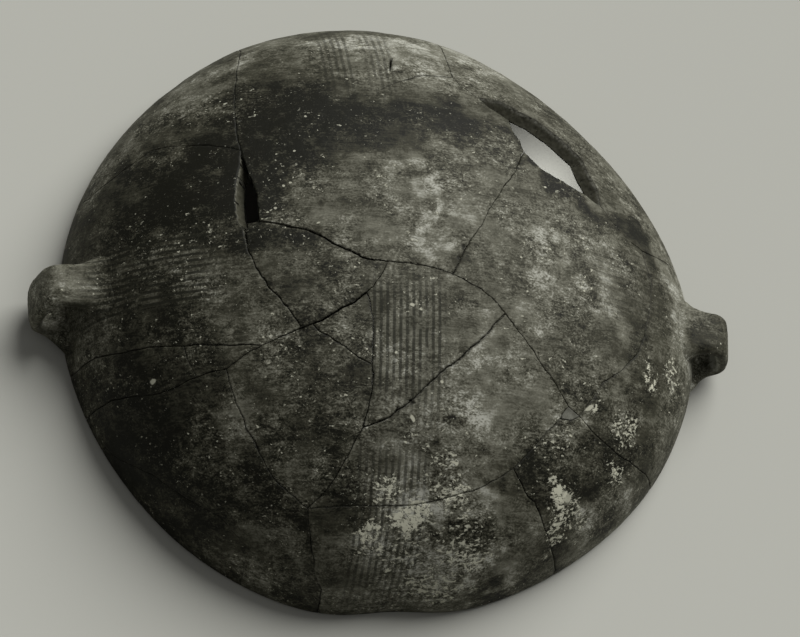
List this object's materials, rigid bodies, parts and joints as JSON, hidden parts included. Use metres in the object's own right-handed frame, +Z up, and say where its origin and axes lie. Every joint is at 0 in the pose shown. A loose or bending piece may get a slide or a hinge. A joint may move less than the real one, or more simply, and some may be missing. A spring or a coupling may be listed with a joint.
{
  "type": "pottery bowl",
  "caption": "Round-based hand-built pottery bowl with strap handles at the rim, mended from its sherds, lying mouth down with missing pieces.",
  "frame": {"origin": "middle of the bounding box on the plane that the rim rests on, mouth down", "axes": "+Z up, out of the round base; +X to the east handle, with the west handle opposite; +Y to the side with the large missing piece"},
  "size_m": [0.3362, 0.2994, 0.0862],
  "materials": {
    "slip_clay": "dark grey burnished slip on fired clay, worn matt in places",
    "clay_handle": "dark grey worn slip on fired clay, with lime specks",
    "infill": "smooth matt grey filling, a little lighter than the clay"
  },
  "bodies": {
    "root": {"sherd_crown": "slip_clay", "sherd_rim_north_west": "slip_clay", "sherd_rim_north_east": "slip_clay", "sherd_handle_west": "slip_clay", "sherd_handle_east": "slip_clay", "sherd_shoulder_east": "slip_clay", "sherd_tongue": "slip_clay", "sherd_small_triangle": "slip_clay", "sherd_painted_band": "slip_clay", "sherd_belly_west": "slip_clay", "sherd_belly_east": "slip_clay", "sherd_wedge": "slip_clay", "sherd_rim_wedge": "slip_clay", "sherd_rim_south_west": "slip_clay", "sherd_rim_strip": "slip_clay", "sherd_rim_south": "slip_clay", "sherd_rim_south_east": "slip_clay", "infill_patch": "infill", "handle_east": "clay_handle", "handle_west": "clay_handle"}
  },
  "joints": []
}
